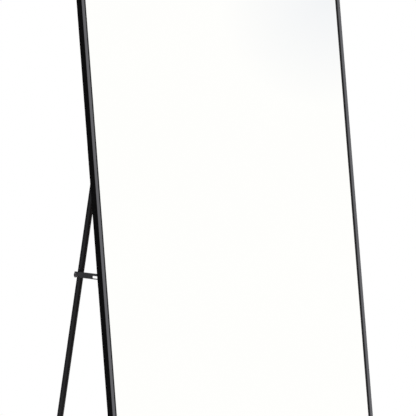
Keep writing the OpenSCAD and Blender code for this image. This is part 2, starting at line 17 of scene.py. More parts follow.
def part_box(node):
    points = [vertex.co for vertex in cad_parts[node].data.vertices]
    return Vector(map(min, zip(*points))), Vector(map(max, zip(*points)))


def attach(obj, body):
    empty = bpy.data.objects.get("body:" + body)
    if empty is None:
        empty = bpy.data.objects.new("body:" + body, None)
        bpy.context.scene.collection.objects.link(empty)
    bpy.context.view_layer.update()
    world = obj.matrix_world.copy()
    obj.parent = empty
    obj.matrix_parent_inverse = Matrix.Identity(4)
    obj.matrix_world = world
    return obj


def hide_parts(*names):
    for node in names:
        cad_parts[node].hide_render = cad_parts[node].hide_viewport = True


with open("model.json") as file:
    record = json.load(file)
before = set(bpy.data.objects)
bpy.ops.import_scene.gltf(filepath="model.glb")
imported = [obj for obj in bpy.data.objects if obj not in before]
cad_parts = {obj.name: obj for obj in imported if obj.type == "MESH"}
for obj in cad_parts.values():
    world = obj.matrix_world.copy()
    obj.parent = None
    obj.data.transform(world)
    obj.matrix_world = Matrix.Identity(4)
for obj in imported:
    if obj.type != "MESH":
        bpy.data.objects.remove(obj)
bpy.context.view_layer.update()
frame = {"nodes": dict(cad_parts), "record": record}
nodes = frame["nodes"]
MM = 0.001

# %% [markdown]
# ## The leaning frame's directions
# The mirror leans back, so most of its details are easier to place in the leaning frame's own
# directions: across it, inward from front to back, and up along it. The angle could be typed in, but
# then it would be wrong as soon as the model changed. It is measured on the glass instead. A leaning
# pane's box is deeper and taller than its slanted edge alone, by what its thickness adds, and that
# depends on the angle too, so a few rounds of guessing and correcting settle both.

# %% The lean
GLASS_T = 4 * MM
ROUNDS = 8


def slant_of(node, thickness):
    """How far a long straight part leans from upright, by its box and its thickness."""
    low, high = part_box(node)
    angle = 0.0
    for _ in range(ROUNDS):
        run = high.y - low.y - thickness * math.cos(angle)
        climb = high.z - low.z - thickness * math.sin(angle)
        angle = math.atan2(run, climb)
    return angle


LEAN = slant_of("mirror_glass", GLASS_T)
ACROSS = Vector((1, 0, 0))
INWARD = Vector((0, math.cos(LEAN), -math.sin(LEAN)))
ALONG = Vector((0, math.sin(LEAN), math.cos(LEAN)))
print("lean", round(math.degrees(LEAN), 2), "degrees")

# %% [markdown]
# ## The camera
# The picture was taken from far away with a long lens, well to the mirror's left and looking slightly
# down. A camera could be placed by eye, but the thin lines of a frame and its stand show every error.
# This one's angle, distance and lens were worked out from the places of the frame's edges, the stand and
# the stay in the picture. It is aimed to the right of the origin and above it, as the view sees them.

# %% Camera
VIEW_AZIMUTH = math.radians(-26.31)
VIEW_ELEVATION = math.radians(4.82)
VIEW_DISTANCE = 8.0
AIM_RIGHT = 0.0092
AIM_UP = 0.8039
SENSOR = 36.0
LENS = 350.5
VIEW_RIGHT = Vector((math.cos(VIEW_AZIMUTH), math.sin(VIEW_AZIMUTH), 0))
VIEW_BACK = Vector((
    math.sin(VIEW_AZIMUTH) * math.cos(VIEW_ELEVATION),
    -math.cos(VIEW_AZIMUTH) * math.cos(VIEW_ELEVATION),
    math.sin(VIEW_ELEVATION)))
VIEW_UP = VIEW_BACK.cross(VIEW_RIGHT)


def make_camera():
    data = bpy.data.cameras.new("camera")
    data.lens = LENS
    data.sensor_width = SENSOR
    made = bpy.data.objects.new("camera", data)
    bpy.context.scene.collection.objects.link(made)
    turn = Matrix((VIEW_RIGHT, VIEW_UP, VIEW_BACK)).transposed().to_4x4()
    spot = VIEW_BACK * VIEW_DISTANCE + VIEW_RIGHT * AIM_RIGHT + VIEW_UP * AIM_UP
    made.matrix_world = Matrix.Translation(spot) @ turn
    return made


camera = make_camera()
bpy.context.scene.camera = camera
bpy.context.scene.view_settings.view_transform = "Standard"
print("camera at", [round(x, 3) for x in camera.matrix_world.translation])

# %% [markdown]
# ## Helpers for materials
# A shader tree can be clicked together, but written out it can be read, and built again at any time.
# Colours are the sRGB hex values that a colour picker shows, turned to the linear values that shaders
# need. One function adds every node: it sets the node's options, fills or links its inputs, and gives
# back the output that the next node reads. The scale of a pattern is given as the real distance in
# millimetres between its repeats. A Mix node has several sockets of one name, so its colour sockets are
# called by number, and noise seldom leaves the middle of its range, so only that span is mapped.

# %% Material helpers
SHADER = "Principled BSDF"
FACTOR = 0
FIRST = 6
SECOND = 7
MIXED = 2
COLOURS = {"data_type": "RGBA"}
NOISE_SPAN = {"From Min": 0.3, "From Max": 0.7}


def linear(hex_colour):
    """An sRGB hex colour such as "#808080" as linear RGBA."""
    parts = [int(hex_colour[i:i + 2], 16) / 255 for i in (1, 3, 5)]
    return (*[p / 12.92 if p <= 0.04045 else ((p + 0.055) / 1.055) ** 2.4 for p in parts], 1)


def per_mm(size):
    """The texture scale at which a pattern repeats about every size millimetres."""
    return 1 / (size * MM)


def set_inputs(node, inputs):
    """Fills a node's inputs, by name or number. A value is set, and another node's output is linked."""
    for name, value in inputs.items():
        if isinstance(value, bpy.types.NodeSocket):
            node.id_data.links.new(value, node.inputs[name])
        else:
            node.inputs[name].default_value = value


def add(tree, kind, inputs=None, output=0, **settings):
    """Adds a shader node with its settings and inputs, and gives back one of its outputs."""
    node = tree.nodes.new("ShaderNode" + kind)
    for name, value in settings.items():
        setattr(node, name, value)
    set_inputs(node, inputs or {})
    return node.outputs[output]


def new_material(name):
    """A material with the default shader, and its node tree."""
    material = bpy.data.materials.new(name)
    material.use_nodes = True
    return material, material.node_tree


print("a middle grey is", round(linear("#808080")[0], 3), "as a linear value")

# %% [markdown]
# ## Black anodised aluminium: the frame
# The bars are extruded aluminium, dyed black in the anodising bath. The dye leaves them nearly black, with
# the soft sheen of the clear oxide over it, and the extrusion die leaves faint lines along each bar. The flat
# front face carries a painted highlight: it takes a brighter metal colour than the slope and the sides, so it
# looks grey beside them. The face could be a piece of its own. Here one material covers the whole bar, and
# tells the face by its depth behind the frame's front, so the bar stays whole. Noise that is drawn out along
# the bar makes the lines. The real ones are about a tenth of a millimetre apart, and these are coarser, so
# that they show.

# %% Black anodised aluminium
DIE_LINES_MM = 0.5
LINE_DEPTH_MM = 0.01
DRAWN_OUT = 100
DYE_CLOUDS_MM = 45
OXIDE_SHEEN = 0.25
FACE_EDGE_MM = (0.05, 0.15)
FRONT = min(vert.co.dot(INWARD) for vert in nodes["top_rail"].data.vertices)


def anodised(name, drawn_out):
    material, tree = new_material(name)
    spot = add(tree, "TexCoord", output="Object")
    leaning = {"Vector": spot, "Rotation": (-LEAN, 0, 0), "Scale": drawn_out}
    bar = add(tree, "Mapping", leaning, vector_type="TEXTURE")
    lines = add(tree, "TexNoise", {"Vector": bar, "Scale": per_mm(DIE_LINES_MM), "Detail": 2.0})
    clouds = add(tree, "TexNoise", {"Vector": spot, "Scale": per_mm(DYE_CLOUDS_MM), "Detail": 3.0})
    depth = add(tree, "VectorMath", {0: spot, 1: INWARD}, "Value", operation="DOT_PRODUCT")
    start, end = [FRONT + edge * MM for edge in FACE_EDGE_MM]
    face = {"Value": depth, "From Min": start, "From Max": end, "To Min": 1, "To Max": 0}
    # The flat front face, found by its depth, gets a painted highlight.
    highlight_face = add(tree, "MapRange", face)
    dye = {FACTOR: clouds, FIRST: linear("#0a0a0b"), SECOND: linear("#101012")}
    # These lighter metal colours on the front face are its painted highlight.
    highlight_colours = {FACTOR: lines, FIRST: linear("#656568"), SECOND: linear("#707073")}
    dyed = add(tree, "Mix", dye, MIXED, **COLOURS)
    bright = add(tree, "Mix", highlight_colours, MIXED, **COLOURS)
    set_inputs(tree.nodes[SHADER], {
        "Base Color": add(tree, "Mix", {FACTOR: highlight_face, FIRST: dyed, SECOND: bright}, MIXED, **COLOURS),
        "Metallic": highlight_face,
        "Roughness": add(tree, "MapRange", {"Value": lines, **NOISE_SPAN, "To Min": 0.27, "To Max": 0.33}),
        "Normal": add(tree, "Bump", {"Height": lines, "Distance": LINE_DEPTH_MM * MM, "Strength": 0.4}),
        "Specular IOR Level": OXIDE_SHEEN})
    return material


upright_finish = anodised("black_anodised_aluminium_upright", (1, 1, DRAWN_OUT))
rail_finish = anodised("black_anodised_aluminium_rail", (DRAWN_OUT, 1, 1))
print("made", upright_finish.name, "and", rail_finish.name)

# %% [markdown]
# ## Silvered glass: the mirror
# The pane is float glass with silver behind it. Glass and silver could be modelled as two layers, but
# what shows is the silver's reflection through clear glass, so a metal with no roughness stands for
# both. It is as bright as fresh silver, and a touch warm where the glass takes some blue. Float glass
# is flat to a few hundredths of a millimetre over a hand's width, so its reflection bends very slightly.

# %% Silvered glass
WAVES_MM = 160
WAVE_HEIGHT_MM = 0.02


def silvered_glass(name):
    material, tree = new_material(name)
    spot = add(tree, "TexCoord", output="Object")
    waves = add(tree, "TexNoise", {"Vector": spot, "Scale": per_mm(WAVES_MM), "Detail": 1.0})
    silver = {FACTOR: waves, FIRST: linear("#fffffd"), SECOND: linear("#fefefc")}
    set_inputs(tree.nodes[SHADER], {
        "Base Color": add(tree, "Mix", silver, MIXED, **COLOURS),
        "Metallic": 1.0,
        "Roughness": 0.0,
        "Normal": add(tree, "Bump", {"Height": waves, "Distance": WAVE_HEIGHT_MM * MM, "Strength": 0.15})})
    return material


glass_finish = silvered_glass("silvered_float_glass")
print("made", glass_finish.name)

# %% [markdown]
# ## Powder coat: the stand, the stays and the brackets
# The tubes and the pressed steel are coated with black powder, which is melted on in an oven. It leaves
# an orange peel of shallow lumps a millimetre or so apart, with a sheen softer than the aluminium's.
# The lumps could be a mesh of their own, but they are far too shallow for that, so a bump shows them.
# The brackets and stays carry a flatter coat than the tubes, and the stays a greyer one.

# %% Powder coat
PEEL_MM = 1.4
PEEL_DEPTH_MM = 0.03
COAT_CLOUDS_MM = 30


def powder_coat(name, dark, light, rough, sheen):
    material, tree = new_material(name)
    spot = add(tree, "TexCoord", output="Object")
    peel = add(tree, "TexNoise", {"Vector": spot, "Scale": per_mm(PEEL_MM), "Detail": 1.0})
    clouds = add(tree, "TexNoise", {"Vector": spot, "Scale": per_mm(COAT_CLOUDS_MM), "Detail": 4.0})
    coat = {FACTOR: clouds, FIRST: linear(dark), SECOND: linear(light)}
    dullness = {"Value": clouds, **NOISE_SPAN, "To Min": rough - 0.04, "To Max": rough + 0.04}
    set_inputs(tree.nodes[SHADER], {
        "Base Color": add(tree, "Mix", coat, MIXED, **COLOURS),
        "Roughness": add(tree, "MapRange", dullness),
        "Normal": add(tree, "Bump", {"Height": peel, "Distance": PEEL_DEPTH_MM * MM, "Strength": 0.5}),
        "Specular IOR Level": sheen})
    return material


tube_finish = powder_coat("black_powder_coat_tube", "#1d1d20", "#242427", 0.38, 0.3)
steel_finish = powder_coat("black_powder_coat_sheet", "#1c1c1f", "#242427", 0.5, 0.25)
stay_finish = powder_coat("black_powder_coat_stay", "#404043", "#48484b", 0.5, 0.3)
print("made", tube_finish.name, steel_finish.name, stay_finish.name)

# %% [markdown]
# ## Plated and blackened steel: studs, pins, bolts and the hidden parts
# The studs, pins, bolts and rivets are steel with a dark nickel plate, and shine more than the coated
# parts. Screws are blackened in an oxide bath. The corner keys, nut plates and springs inside the frame
# are zinc plated. All are metals to the shader, and differ in colour and roughness. A fine grain in the
# roughness keeps a highlight from looking like plastic. A real plate's grain is finer than a tenth of a
# millimetre, and this one is coarser, so that it shows.

# %% Plated and blackened steel
PLATE_GRAIN_MM = 0.4
PLATE_GRAIN_DEPTH_MM = 0.01
PLATE_CLOUDS_MM = 9


def plated(name, dark, light, rough):
    material, tree = new_material(name)
    spot = add(tree, "TexCoord", output="Object")
    grain = add(tree, "TexNoise", {"Vector": spot, "Scale": per_mm(PLATE_GRAIN_MM), "Detail": 2.0})
    clouds = add(tree, "TexNoise", {"Vector": spot, "Scale": per_mm(PLATE_CLOUDS_MM), "Detail": 3.0})
    plate = {FACTOR: clouds, FIRST: linear(dark), SECOND: linear(light)}
    dullness = {"Value": grain, **NOISE_SPAN, "To Min": rough - 0.05, "To Max": rough + 0.08}
    roughened = {"Height": grain, "Distance": PLATE_GRAIN_DEPTH_MM * MM, "Strength": 0.3}
    set_inputs(tree.nodes[SHADER], {
        "Base Color": add(tree, "Mix", plate, MIXED, **COLOURS),
        "Metallic": 1.0,
        "Roughness": add(tree, "MapRange", dullness),
        "Normal": add(tree, "Bump", roughened)})
    return material


nickel_finish = plated("dark_nickel_plate", "#8c8a8f", "#9a989d", 0.52)
zinc_finish = plated("bright_zinc_plate", "#a8adb3", "#bcc0c4", 0.28)
oxide_finish = plated("black_oxide_steel", "#2a2a2d", "#343438", 0.38)
print("made", nickel_finish.name, zinc_finish.name, oxide_finish.name)

# %% [markdown]
# ## Rubber, plastic, nylon and foam
# The floor pads and foot sleeves are moulded rubber: matt, nearly black, dustier where the skin is
# rough. The gasket is extruded rubber, the plugs in the tubes are moulded polyethylene with the fine
# grain of a spark-eroded mould, and the bushes and washers are undyed nylon. The sheet behind the glass
# is white foam. They are one family to the eye, clouded in colour and grained by what formed them, so
# one function makes them all from the size and depth of that grain. A mould's real grain is only a few
# tenths of a millimetre, and it is drawn coarser, so that it shows.

# %% Rubber, plastic, nylon and foam
SKIN_CLOUDS_MM = 12
PLAIN_SHEEN = 0.5


def moulded(name, dark, light, rough, grain_mm, grain_depth_mm, sheen):
    material, tree = new_material(name)
    spot = add(tree, "TexCoord", output="Object")
    grain = add(tree, "TexNoise", {"Vector": spot, "Scale": per_mm(grain_mm), "Detail": 2.0})
    clouds = add(tree, "TexNoise", {"Vector": spot, "Scale": per_mm(SKIN_CLOUDS_MM), "Detail": 4.0})
    skin = {FACTOR: clouds, FIRST: linear(dark), SECOND: linear(light)}
    dullness = {"Value": clouds, **NOISE_SPAN, "To Min": rough - 0.06, "To Max": rough + 0.06}
    set_inputs(tree.nodes[SHADER], {
        "Base Color": add(tree, "Mix", skin, MIXED, **COLOURS),
        "Roughness": add(tree, "MapRange", dullness),
        "Normal": add(tree, "Bump", {"Height": grain, "Distance": grain_depth_mm * MM, "Strength": 0.6}),
        "Specular IOR Level": sheen})
    return material


rubber_finish = moulded("moulded_black_rubber", "#141414", "#1d1d1c", 0.72, 0.9, 0.05, 0.3)
gasket_finish = moulded("extruded_rubber_gasket", "#0e0e0f", "#161616", 0.6, 0.6, 0.02, 0.3)
plug_finish = moulded("moulded_polyethylene", "#121213", "#1a1a1b", 0.55, 0.8, 0.03, 0.4)
nylon_finish = moulded("natural_nylon", "#dcd8cc", "#e6e3d9", 0.42, 1.2, 0.02, PLAIN_SHEEN)
foam_finish = moulded("white_foam_sheet", "#e4e4df", "#efefeb", 0.85, 1.0, 0.1, PLAIN_SHEEN)
print("made", rubber_finish.name, gasket_finish.name, plug_finish.name, nylon_finish.name, foam_finish.name)

# %% [markdown]
# ## Hardboard and film: the back
# The back is brown hardboard. Its rough side shows the square mesh of the wire screen that it was
# pressed on, with darker fibres through it. The safety film between glass and foam is grey vinyl over a
# net of threads. A modelled mesh over so wide a board would take millions of faces. Two wave textures
# draw its threads instead, one along each side of the board, and the higher of the two at each point
# makes the mesh, which raises the surface and leaves the hollows a little darker. A wave texture has 20
# radians to a unit of its scale, which is why the pitch is divided by that.

# %% Hardboard and film
WAVE_RADIANS = 20
HOLLOW_SHADE = 0.82
FIBRE_MM = 3.5
FIBRES_DRAWN_OUT = 10 / 3
SHEET_SHEEN = 0.3


def meshed(name, dark, light, pitch_mm, depth_mm, rough):
    material, tree = new_material(name)
    spot = add(tree, "TexCoord", output="Object")
    leaning = {"Vector": spot, "Rotation": (-LEAN, 0, 0)}
    drawn_out = {**leaning, "Scale": (FIBRES_DRAWN_OUT, 1, 1)}
    pitch = {"Vector": add(tree, "Mapping", leaning, vector_type="TEXTURE")}
    pitch["Scale"] = per_mm(pitch_mm) * math.tau / WAVE_RADIANS
    across = add(tree, "TexWave", pitch, "Fac", bands_direction="X")
    upward = add(tree, "TexWave", pitch, "Fac", bands_direction="Z")
    threads = add(tree, "Math", {0: across, 1: upward}, operation="MAXIMUM")
    grain = {"Vector": add(tree, "Mapping", drawn_out, vector_type="TEXTURE"), "Scale": per_mm(FIBRE_MM)}
    fibres = add(tree, "TexNoise", {**grain, "Detail": 5.0, "Roughness": 0.65})
    pulp = add(tree, "Mix", {FACTOR: fibres, FIRST: linear(dark), SECOND: linear(light)}, MIXED, **COLOURS)
    hollows = {"Value": threads, "From Min": 0.1, "From Max": 0.9, "To Min": HOLLOW_SHADE, "To Max": 1.0}
    shade = add(tree, "MapRange", hollows)
    dullness = {"Value": fibres, **NOISE_SPAN, "To Min": rough - 0.06, "To Max": rough + 0.08}
    set_inputs(tree.nodes[SHADER], {
        "Base Color": add(tree, "VectorMath", {0: pulp, "Scale": shade}, operation="SCALE"),
        "Roughness": add(tree, "MapRange", dullness),
        "Normal": add(tree, "Bump", {"Height": threads, "Distance": depth_mm * MM, "Strength": 0.8}),
        "Specular IOR Level": SHEET_SHEEN})
    return material


board_finish = meshed("screen_backed_hardboard", "#553c28", "#7b5a3f", 2.2, 0.2, 0.75)
film_finish = meshed("grey_vinyl_safety_film", "#8f9499", "#a0a5aa", 4.0, 0.05, 0.5)
print("made", board_finish.name, "and", film_finish.name)

# %% [markdown]
# ## Dressing the imported parts
# Each imported part keeps its exact mesh and takes its finish by name. A table of finishes is shorter than a
# line for every part, and shows at a glance which parts look alike. The pieces that are modelled again below
# take the same finish and body as the part that they stand for.

# %% Finishes by part
FINISHES = {
    upright_finish: ["left_stile", "right_stile"],
    rail_finish: ["top_rail", "bottom_rail"],
    glass_finish: ["mirror_glass"],
    film_finish: ["safety_film"],
    foam_finish: ["foam_sheet"],
    board_finish: ["backing_board"],
    gasket_finish: ["glazing_gasket", "setting_blocks"],
    zinc_finish: ["corner_keys", "nut_plates", "board_springs"],
    oxide_finish: ["corner_screws", "bracket_screws", "lug_screws"],
    steel_finish: ["left_hinge_bracket", "right_hinge_bracket", "left_stay_lug", "right_stay_lug"],
    stay_finish: ["left_stay", "right_stay"],
    nickel_finish: [
        "left_hinge_bolt", "right_hinge_bolt", "hinge_nuts", "left_stay_pin", "right_stay_pin",
        "left_leg_stud", "right_leg_stud", "stud_spacers", "joint_rivets"],
    rubber_finish: ["left_floor_pad", "right_floor_pad", "left_foot_sleeve", "right_foot_sleeve"],
    tube_finish: ["left_leg_arm", "right_leg_arm", "left_foot_bend", "right_foot_bend", "foot_bar"],
    plug_finish: ["arm_plugs"],
    nylon_finish: ["hinge_bushes", "hinge_washers"],
}
record = frame["record"]
finish_of = {name: material for material, names in FINISHES.items() for name in names}
body_of = {name: body for body, names in record["behaviour"]["bodies"].items() for name in names}

for name, material in finish_of.items():
    nodes[name].data.materials.clear()
    nodes[name].data.materials.append(material)
print(len(finish_of), "parts dressed in", len(FINISHES), "finishes")

# %% [markdown]
# ## Finishing a new piece
# A piece that is modelled again is made of real faces, so its shading has to be told which edges are
# sharp. Smooth shading alone would smear light over a flat bar from its rounded edges. The Weighted
# Normal modifier lets each big face keep its own flat shading, and only the small rounds blend. The
# piece is built in place, so that its object stays at the origin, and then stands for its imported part.

# %% Finished pieces
SHARP_DEG = 35


def mesh_object(name, bm, material):
    """Turns a bmesh into an object at the origin."""
    mesh = bpy.data.meshes.new(name)
    bm.to_mesh(mesh)
    bm.free()
    mesh.materials.append(material)
    made = bpy.data.objects.new(name, mesh)
    bpy.context.scene.collection.objects.link(made)
    return made


def finished(bm, node):
    """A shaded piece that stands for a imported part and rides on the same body."""
    bmesh.ops.recalc_face_normals(bm, faces=bm.faces)
    for face in bm.faces:
        face.smooth = True
    for edge in bm.edges:
        edge.smooth = edge.calc_face_angle(0.0) < math.radians(SHARP_DEG)
    piece = mesh_object(node + "_piece", bm, finish_of[node])
    shading = piece.modifiers.new("shading", "WEIGHTED_NORMAL")
    shading.keep_sharp = True
    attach(piece, body_of[node])
    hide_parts(node)
    return piece


print("edges that turn more than", SHARP_DEG, "degrees stay sharp")

# %% [markdown]
# ## Frame bars, pressed sheet, tubes and pads
# Saw cuts are deburred and extrusion dies have small radii, so no edge of the frame is knife sharp. The
# round on the mitred ends shows as a hairline across each corner, and on the cut ends of the tubes it
# draws the joints between arm, bend and foot bar as fine grooves. The stays, brackets and lugs are
# punched from sheet and tumbled, which rounds them a little more, and the rubber pads are rounder still.
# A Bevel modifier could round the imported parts, but their meshes are loose triangles. So each one is
# copied and welded, its flat triangles are joined into whole faces, and its sharp edges are bevelled.

# %% Softened copies
WELD = 0.01 * MM
FLAT_DEG = 1
FRAME_ROUND_MM = 0.12
SHEET_ROUND_MM = 0.22
TUBE_ROUND_MM = 0.25
PAD_ROUND_MM = 0.7


def welded(node):
    """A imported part's mesh, joined into closed solids."""
    bm = bmesh.new()
    bm.from_mesh(nodes[node].data)
    bmesh.ops.remove_doubles(bm, verts=bm.verts, dist=WELD)
    return bm


def softened(node, round_mm, segments=2):
    """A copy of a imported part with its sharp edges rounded."""
    bm = welded(node)
    bmesh.ops.dissolve_limit(bm, angle_limit=math.radians(FLAT_DEG), verts=bm.verts, edges=bm.edges)
    sharp = [edge for edge in bm.edges if edge.calc_face_angle(0.0) > math.radians(SHARP_DEG)]
    bmesh.ops.bevel(
        bm, geom=sharp, offset=round_mm * MM, segments=segments, profile=0.5, affect="EDGES",
        clamp_overlap=True, material=-1)
    return finished(bm, node)


for node in FINISHES[upright_finish] + FINISHES[rail_finish]:
    softened(node, FRAME_ROUND_MM)
for node in FINISHES[steel_finish] + FINISHES[stay_finish]:
    softened(node, SHEET_ROUND_MM)
for node in FINISHES[tube_finish]:
    softened(node, TUBE_ROUND_MM)
for node in ("left_floor_pad", "right_floor_pad"):
    softened(node, PAD_ROUND_MM, 3)
print("frame, sheet, tubes and pads softened")

# %% [markdown]
# ## Where the round pieces go
# Screws, bolts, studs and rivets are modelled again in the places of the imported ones. The places could
# be copied from the model's source, but then each change there would have to be copied too. They are
# measured instead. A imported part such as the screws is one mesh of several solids. Following its edges
# from vertex to vertex parts the solids, and the box of each one, along the three ways in which that
# part of the mirror is built, gives its place, its length and its diameter.

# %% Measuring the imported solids
UPRIGHT = (Vector((1, 0, 0)), Vector((0, 1, 0)), Vector((0, 0, 1)))
LEANING = (ACROSS, INWARD, ALONG)


def linked(first):
    """All the vertices that edges join to the first one."""
    found = {first}
    ahead = [first]
    while ahead:
        vert = ahead.pop()
        others = [edge.other_vert(vert) for edge in vert.link_edges]
        fresh = [other for other in others if other not in found]
        found.update(fresh)
        ahead += fresh
    return found


def solids_of(node, ways):
    """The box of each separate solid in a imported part, as its low and high corner along three ways."""
    bm = welded(node)
    seen = set()
    boxes = []
    for first in bm.verts:
        if first not in seen:
            solid = linked(first)
            seen |= solid
            spans = [[vert.co.dot(way) for vert in solid] for way in ways]
            boxes.append((Vector([min(span) for span in spans]), Vector([max(span) for span in spans])))
    bm.free()
    return boxes


print(len(solids_of("bracket_screws", LEANING)), "bracket screws found")

# %% [markdown]
# ## Turned pieces
# All these pieces are round, so each is an outline that is spun about its axis, as on a lathe. An
# outline is a list of rings, each a radius and a height in millimetres. A ring may be cut to a hexagon,
# which makes sockets and nuts: its vertices are pulled in to the hexagon's sides after the spin.
# Primitive cylinders could be stacked instead, but the seams between them would shade badly.

# %% Spinning an outline
SIDES = 48
NEAR_MM = 0.001
HALF_FLAT_ANGLE = math.radians(30)


def cut_to_hexagon(verts, corners):
    """Pulls a ring in to a hexagon of a given size across its corners."""
    for vert in verts:
        angle = math.atan2(vert.co.y, vert.co.x)
        from_flat = (angle + HALF_FLAT_ANGLE) % (2 * HALF_FLAT_ANGLE) - HALF_FLAT_ANGLE
        reach = corners / 2 * math.cos(HALF_FLAT_ANGLE) / math.cos(from_flat)
        share = min(1, reach / math.hypot(vert.co.x, vert.co.y))
        vert.co.x *= share
        vert.co.y *= share


def turned(bm, spot, axis, rings, hollow=False):
    """Adds an outline of rings (radius, height, size across a hexagon's corners), spun round an axis."""
    others = set(bm.verts)
    outline = [bm.verts.new((radius, 0, height)) for radius, height, *_ in rings]
    chain = outline + outline[:1] if hollow else outline
    edges = [bm.edges.new(pair) for pair in zip(chain, chain[1:])]
    bmesh.ops.spin(bm, geom=outline + edges, axis=(0, 0, 1), angle=math.tau, steps=SIDES, use_merge=True)
    bmesh.ops.holes_fill(bm, edges=[edge for edge in bm.edges if edge.is_boundary])
    made = [vert for vert in bm.verts if vert not in others]
    for radius, height, *corners in rings:
        if corners:
            level = [vert for vert in made if abs(vert.co.z - height) < NEAR_MM]
            ring = [vert for vert in level if abs(math.hypot(vert.co.x, vert.co.y) - radius) < NEAR_MM]
            cut_to_hexagon(ring, corners[0])
    turn = axis.to_track_quat("Z", "Y").to_matrix().to_4x4()
    bmesh.ops.transform(bm, matrix=Matrix.Translation(spot) @ turn @ Matrix.Scale(MM, 4), verts=made)


print("a ring of", SIDES, "sides strays", round(1 - math.cos(math.pi / SIDES), 4), "of its radius from round")

# %% [markdown]
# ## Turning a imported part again
# Every one of these parts takes the same steps: find the solids, spin an outline on each one's axis, and
# finish the result as one piece. The steps could be written out for each part. One function that is
# given the part's outline does them for all, and only the outlines differ.

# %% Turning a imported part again
def make_turned(node, ways, along, rings_for, *details, flip=False, hollow=False):
    """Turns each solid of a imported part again. Its axis runs in the way called x, y or z.

    rings_for gives the rings for a length, a diameter and any further details. Their height 0 is the
    axis's low end, or its high end where flip is set.
    """
    number = "xyz".index(along)
    bm = bmesh.new()
    for low, high in solids_of(node, ways):
        size = (high - low) / MM
        start = (low + high) / 2
        start[number] = high[number] if flip else low[number]
        spot = ways[0] * start.x + ways[1] * start.y + ways[2] * start.z
        axis = -ways[number] if flip else ways[number]
        # A round solid is equally wide both ways across its axis, so the way listed before it will do.
        turned(bm, spot, axis, rings_for(size[number], size[number - 1], *details), hollow)
    return finished(bm, node)


print("ready to turn the packed parts again")

# %% [markdown]
# ## Arcs and domes
# The rounded edge of a turned piece is an arc of its outline, and the low dome of a screw or a rivet is
# a quarter of an ellipse. Their rings could be typed in, but a rounder edge would then need all of them
# again. Two functions work them out from a radius and a number of steps.

# %% Arcs and domes
def arc_rings(radius, height, bend, start, end, steps=4):
    """Rings along an arc of the outline, about a centre at a radius and a height, by its angles."""
    angles = [math.radians(start + (end - start) * k / steps) for k in range(steps + 1)]
    return [(radius + bend * math.cos(a), height + bend * math.sin(a)) for a in angles]


def dome_rings(radius, height, stop_r, base, steps=10):
    """Rings of a low dome on a base, from its rim up to where it is down to the radius stop_r."""
    last = math.acos(stop_r / radius)
    angles = [last * k / steps for k in range(steps + 1)]
    return [(radius * math.cos(a), base + height * math.sin(a)) for a in angles]


print("a rounded edge takes", len(arc_rings(1, 0, 1, 0, 90)), "rings")

# %% [markdown]
# ## Screws
# Each screw has a low button head with a hexagon socket. A Boolean could cut the socket, but rings that
# are cut to a hexagon make it in the same spin, with a lead at its mouth and the cone of a drill at its
# bottom. A small fillet joins head and shank. The head's dome is half as high as the shank is thick. On
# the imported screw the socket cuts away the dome's top, so only a share of that height is left there.

# %% Screws
SCREW_SIZES = {"corner_screws": 3, "bracket_screws": 4, "lug_screws": 4}
SOCKET_SHARE = 0.5
SOCKET_DEPTH = 0.55
SOCKET_LEAD = 0.15
HEAD_FILLET = 0.2
HEAD_LEFT = 0.894
AXIS_R = 0.1


def screw_rings(length, head_d, shank_d, head_h):
    """A button screw, from its tip at height 0 to the bottom of its socket."""
    shank_r = shank_d / 2
    tip = shank_d / 8
    base = length - head_h * HEAD_LEFT
    socket = head_d * SOCKET_SHARE
    dome = dome_rings(head_d / 2, head_h, socket / 2 + SOCKET_LEAD, base)
    mouth = dome[-1][1]
    floor = mouth - head_h * SOCKET_DEPTH
    return [
        (shank_r - tip, 0), (shank_r, tip), (shank_r, base - HEAD_FILLET),
        (shank_r + HEAD_FILLET, base), *dome,
        (socket / 2, mouth - SOCKET_LEAD, socket), (socket / 2, floor, socket),
        (AXIS_R, floor - socket / 8)]


for node, shank_d in SCREW_SIZES.items():
    make_turned(node, LEANING, "y", screw_rings, shank_d, shank_d / 2)
print("screws made:", ", ".join(SCREW_SIZES))

# %% [markdown]
# ## Hinge bolts
# A bolt runs through each bracket and the bush in the tube, with its head outboard. The end that stands
# out of the nut shows its thread. A true thread is a helix, but at this size closed grooves at the same
# pitch look the same and cost less. So a bolt is a screw whose tip has given way to a few such grooves.

# %% Bolts
BOLT_D = 5
BOLT_HEAD_H = BOLT_D * 0.55
THREAD_PITCH = 0.8
THREAD_DEPTH = 0.25
THREAD_TURNS = 5
BOLT_CHAMFER = 0.4


def thread_rings():
    """The bare end of a bolt from height 0, with its last turns of thread."""
    rings = [(BOLT_D / 2 - BOLT_CHAMFER, 0)]
    for k in range(THREAD_TURNS):
        foot = BOLT_CHAMFER + k * THREAD_PITCH
        rings += [(BOLT_D / 2, foot), (BOLT_D / 2 - THREAD_DEPTH, foot + THREAD_PITCH / 2)]
    return [*rings, (BOLT_D / 2, BOLT_CHAMFER + THREAD_TURNS * THREAD_PITCH)]


def bolt_rings(length, head_d):
    """A bolt, from its threaded end: the thread, and then a button screw without its tip's two rings."""
    return [*thread_rings(), *screw_rings(length, head_d, BOLT_D, BOLT_HEAD_H)[2:]]


for node, flip in (("left_hinge_bolt", True), ("right_hinge_bolt", False)):
    make_turned(node, UPRIGHT, "x", bolt_rings, flip=flip)
print("bolts made, with", THREAD_TURNS, "turns of thread")

# %% [markdown]
# ## Hinge nuts
# A nut's corners are turned off on both faces, so each chamfer meets the flats in a curve. A bevelled
# prism has straight chamfers instead. Here rings that widen like a cone are cut to the hexagon, which is
# how the real curve comes about. The outline is a closed loop that never meets the axis, so the spin
# makes the bore too.

# %% Nuts
NUT_CORNERS = BOLT_D * 1.85
NUT_LEAD = 0.35
NUT_FACE_INSET = 0.15
NUT_CHAMFER_SLOPE = math.radians(30)
NUT_EDGE = 0.1
CONE_OUT = 0.2
CONE_UP = 0.45


